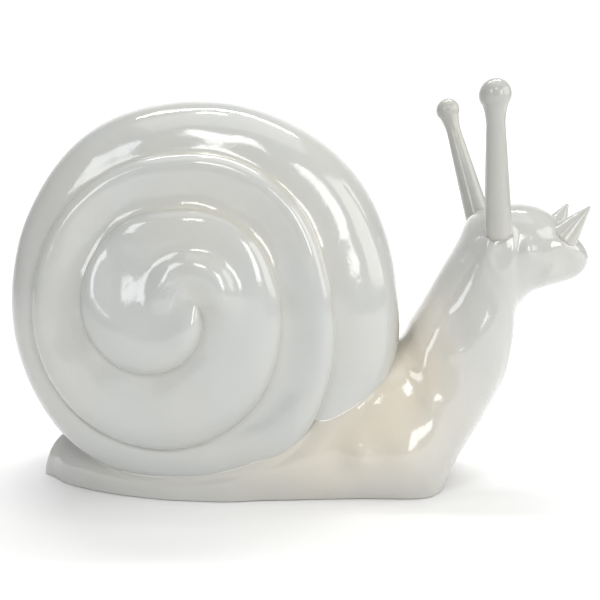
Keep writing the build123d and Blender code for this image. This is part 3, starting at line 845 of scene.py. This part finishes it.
# Each slot with its finish: gelcoats with their plain and cream colours, roughness and coat,
# metals with their roughness and scratches, timbers with their rings and the stretch of the grain
finishes = {slot: make(slot, *values) for slot, make, *values in (
    ("gelcoat_shell", gelcoat, (0.505, 0.515, 0.505, 1), (0.58, 0.545, 0.455, 1), 0.08, 0.6),
    ("gelcoat_body", gelcoat, (0.49, 0.495, 0.48, 1), (0.64, 0.58, 0.475, 1), 0.08, 0.6),
    ("gelcoat_casting", gelcoat, (0.445, 0.45, 0.43, 1), (0.50, 0.47, 0.39, 1), 0.14, 0.3),
    ("stalk_steel", metal, (0.55, 0.56, 0.57, 1), 0.32, 220.0),
    ("zinc_screws", metal, (0.68, 0.69, 0.70, 1), 0.38, 340.0),
    ("insert_brass", metal, (0.72, 0.55, 0.25, 1), 0.28, 340.0),
    ("core_resin", clear_resin, (0.62, 0.56, 0.45, 1)),
    ("plywood", timber, (0.60, 0.45, 0.27, 1), (0.38, 0.25, 0.13, 1), 38.0, (1.0, 9.0, 3.0)),
    ("hardwood", timber, (0.42, 0.27, 0.14, 1), (0.24, 0.14, 0.07, 1), 44.0, (7.0, 1.0, 7.0)),
    ("black_rubber", rubber, (0.03, 0.03, 0.03, 1)),
    ("glass_tape", glass_tape, (0.66, 0.68, 0.60, 1)))}

# Skins over the mouldings and castings
shell_skin("shell_right_skin", "shell_right_half", -1)
shell_skin("shell_left_skin", "shell_left_half", 1)
body_skin("body_right_skin", "body_right_half", -1)
body_skin("body_left_skin", "body_left_half", 1)
eye_stalk(
    "eye_right", "eye_stalk_right", right_ball, ball_radius=0.0148,
    root_radius=right_stalk_root, tip_radius=0.0088, side=-1)
eye_stalk(
    "eye_left", "eye_stalk_left", left_ball, ball_radius=0.0125,
    root_radius=0.0140, tip_radius=0.0076, side=1)
feeler("feeler_right_skin", "feeler_right", right_feeler_tip, tip_radius=0.0012, side=-1)
feeler("feeler_left_skin", "feeler_left", left_feeler_tip, tip_radius=0.0022, side=1)

for entry in frame["record"]["subparts"]:
    solid = frame["nodes"][entry["node"]]
    finish = finishes[entry["material_slot"]]
    if len(solid.data.materials) == 0:
        solid.data.materials.append(finish)
    for material_slot in solid.material_slots:
        material_slot.material = finish


# Floor, light and camera
def floor_finish():
    """Pale board with faint clouds."""
    material, tree, shader, place = new_finish("pale_floor")
    faint = noise_over(tree, place, scale=3.0, detail=2.0)
    pale = mixed(tree, faint, grey(0.90), grey(0.93))
    tree.links.new(pale, shader.inputs["Base Color"])
    shader.inputs["Roughness"].default_value = 0.85
    shader.inputs["Specular IOR Level"].default_value = 0.2
    return material


# Floor and backdrop, in metres
floor_half_width = 7.0
floor_front = -6.0
sweep_start = 2.5
sweep_radius = 1.5
backdrop_top = 6.0


def sweep_floor(sweep_lines=17, cross_lines=9):
    """A floor that curves up into a backdrop: flat, then a quarter circle, then upright."""
    turn = np.linspace(0, np.pi / 2, sweep_lines)
    sweep_y = sweep_start + sweep_radius * np.sin(turn)
    sweep_z = sweep_radius - sweep_radius * np.cos(turn)
    x = np.linspace(-floor_half_width, floor_half_width, cross_lines)
    y = np.concatenate([[floor_front], sweep_y, [sweep_start + sweep_radius]])
    z = np.concatenate([[0.0], sweep_z, [backdrop_top]])
    points = np.stack(np.broadcast_arrays(x[:, None], y, z), axis=-1).reshape(-1, 3)
    mesh = bpy.data.meshes.new("floor")
    mesh.from_pydata(points.tolist(), [], quads(len(x), len(y)).tolist())
    mesh.shade_smooth()
    mesh.materials.append(floor_finish())
    floor = bpy.data.objects.new("floor", mesh)
    bpy.context.scene.collection.objects.link(floor)


def softbox(name, place, target, size, power, colour=(1, 1, 1)):
    """A rectangular lamp that shines from its place at a target."""
    light = bpy.data.lights.new(name, "AREA")
    light.shape = "RECTANGLE"
    light.size, light.size_y = size
    light.energy = power
    light.color = colour
    lamp = bpy.data.objects.new(name, light)
    bpy.context.scene.collection.objects.link(lamp)
    lamp.location = place
    lamp.rotation_euler = (Vector(target) - Vector(place)).to_track_quat("-Z", "Y").to_euler()


# What the windows shine at, and how far from it they stand
window_target = Vector((-0.05, 0, 0.22))
window_distance = 2.2


def window(name, azimuth, elevation, width, height, brightness, colour):
    """A softbox seen from the figure in a direction and of a width and height, all in degrees."""
    azimuth, elevation, width, height = map(math.radians, (azimuth, elevation, width, height))
    level = math.cos(elevation)
    direction = Vector((level * math.sin(azimuth), -level * math.cos(azimuth), math.sin(elevation)))
    size = [2 * window_distance * math.tan(angle / 2) for angle in (width, height)]
    power = brightness * math.pi * size[0] * size[1]
    place = window_target + direction * window_distance
    softbox(name, place, window_target, size, power, colour)


sweep_floor()
# Azimuth, elevation, width, height, brightness and colour of each window
for name, *values in (
        ("left_window", -38, 24, 15, 28, 4.6, (0.95, 0.98, 1.0)),
        ("middle_window", 1, 39, 18, 10, 7.5, (1.0, 1.0, 1.0)),
        ("right_window", 35, 16, 12, 27, 6.5, (1.0, 1.0, 0.98)),
        ("wall_right", 75, 20, 40, 36, 2.7, (1.0, 0.985, 0.95)),
        ("sky", 20, 78, 60, 40, 0.95, (1.0, 1.0, 0.98))):
    window(name, *values)
softbox(
    "ceiling_lamp", place=(-0.10, 0.08, 2.10), target=(-0.1, 0, 0.3), size=(0.26, 0.10),
    power=2.0, colour=(1.0, 0.97, 0.88))
softbox(
    "backdrop_light", place=(0.0, 1.0, 3.2), target=(0.0, 3.6, 0.8), size=(3.0, 0.6),
    power=130)

world = bpy.data.worlds.new("studio")
bpy.context.scene.world = world
world.use_nodes = True
background = world.node_tree.nodes["Background"]
background.inputs["Color"].default_value = (1.0, 1.0, 1.0, 1)
background.inputs["Strength"].default_value = 0.25

# Camera fitted to the photograph, level with the figure's middle and pitched down
photo_width = 600
focal_pixels = 773.0
camera_distance = 0.800
camera_height = 0.333
camera_pitch = math.radians(10)
camera_data = bpy.data.cameras.new("camera")
camera_data.sensor_width = 36.0
camera_data.sensor_fit = "HORIZONTAL"
camera_data.lens = camera_data.sensor_width * focal_pixels / photo_width
camera_data.clip_end = 50
camera = bpy.data.objects.new("camera", camera_data)
bpy.context.scene.collection.objects.link(camera)
camera.location = (-middle_x, -camera_distance, camera_height)
camera.rotation_euler = (math.pi / 2 - camera_pitch, 0, 0)
bpy.context.scene.camera = camera

bpy.context.scene.view_settings.view_transform = "Standard"
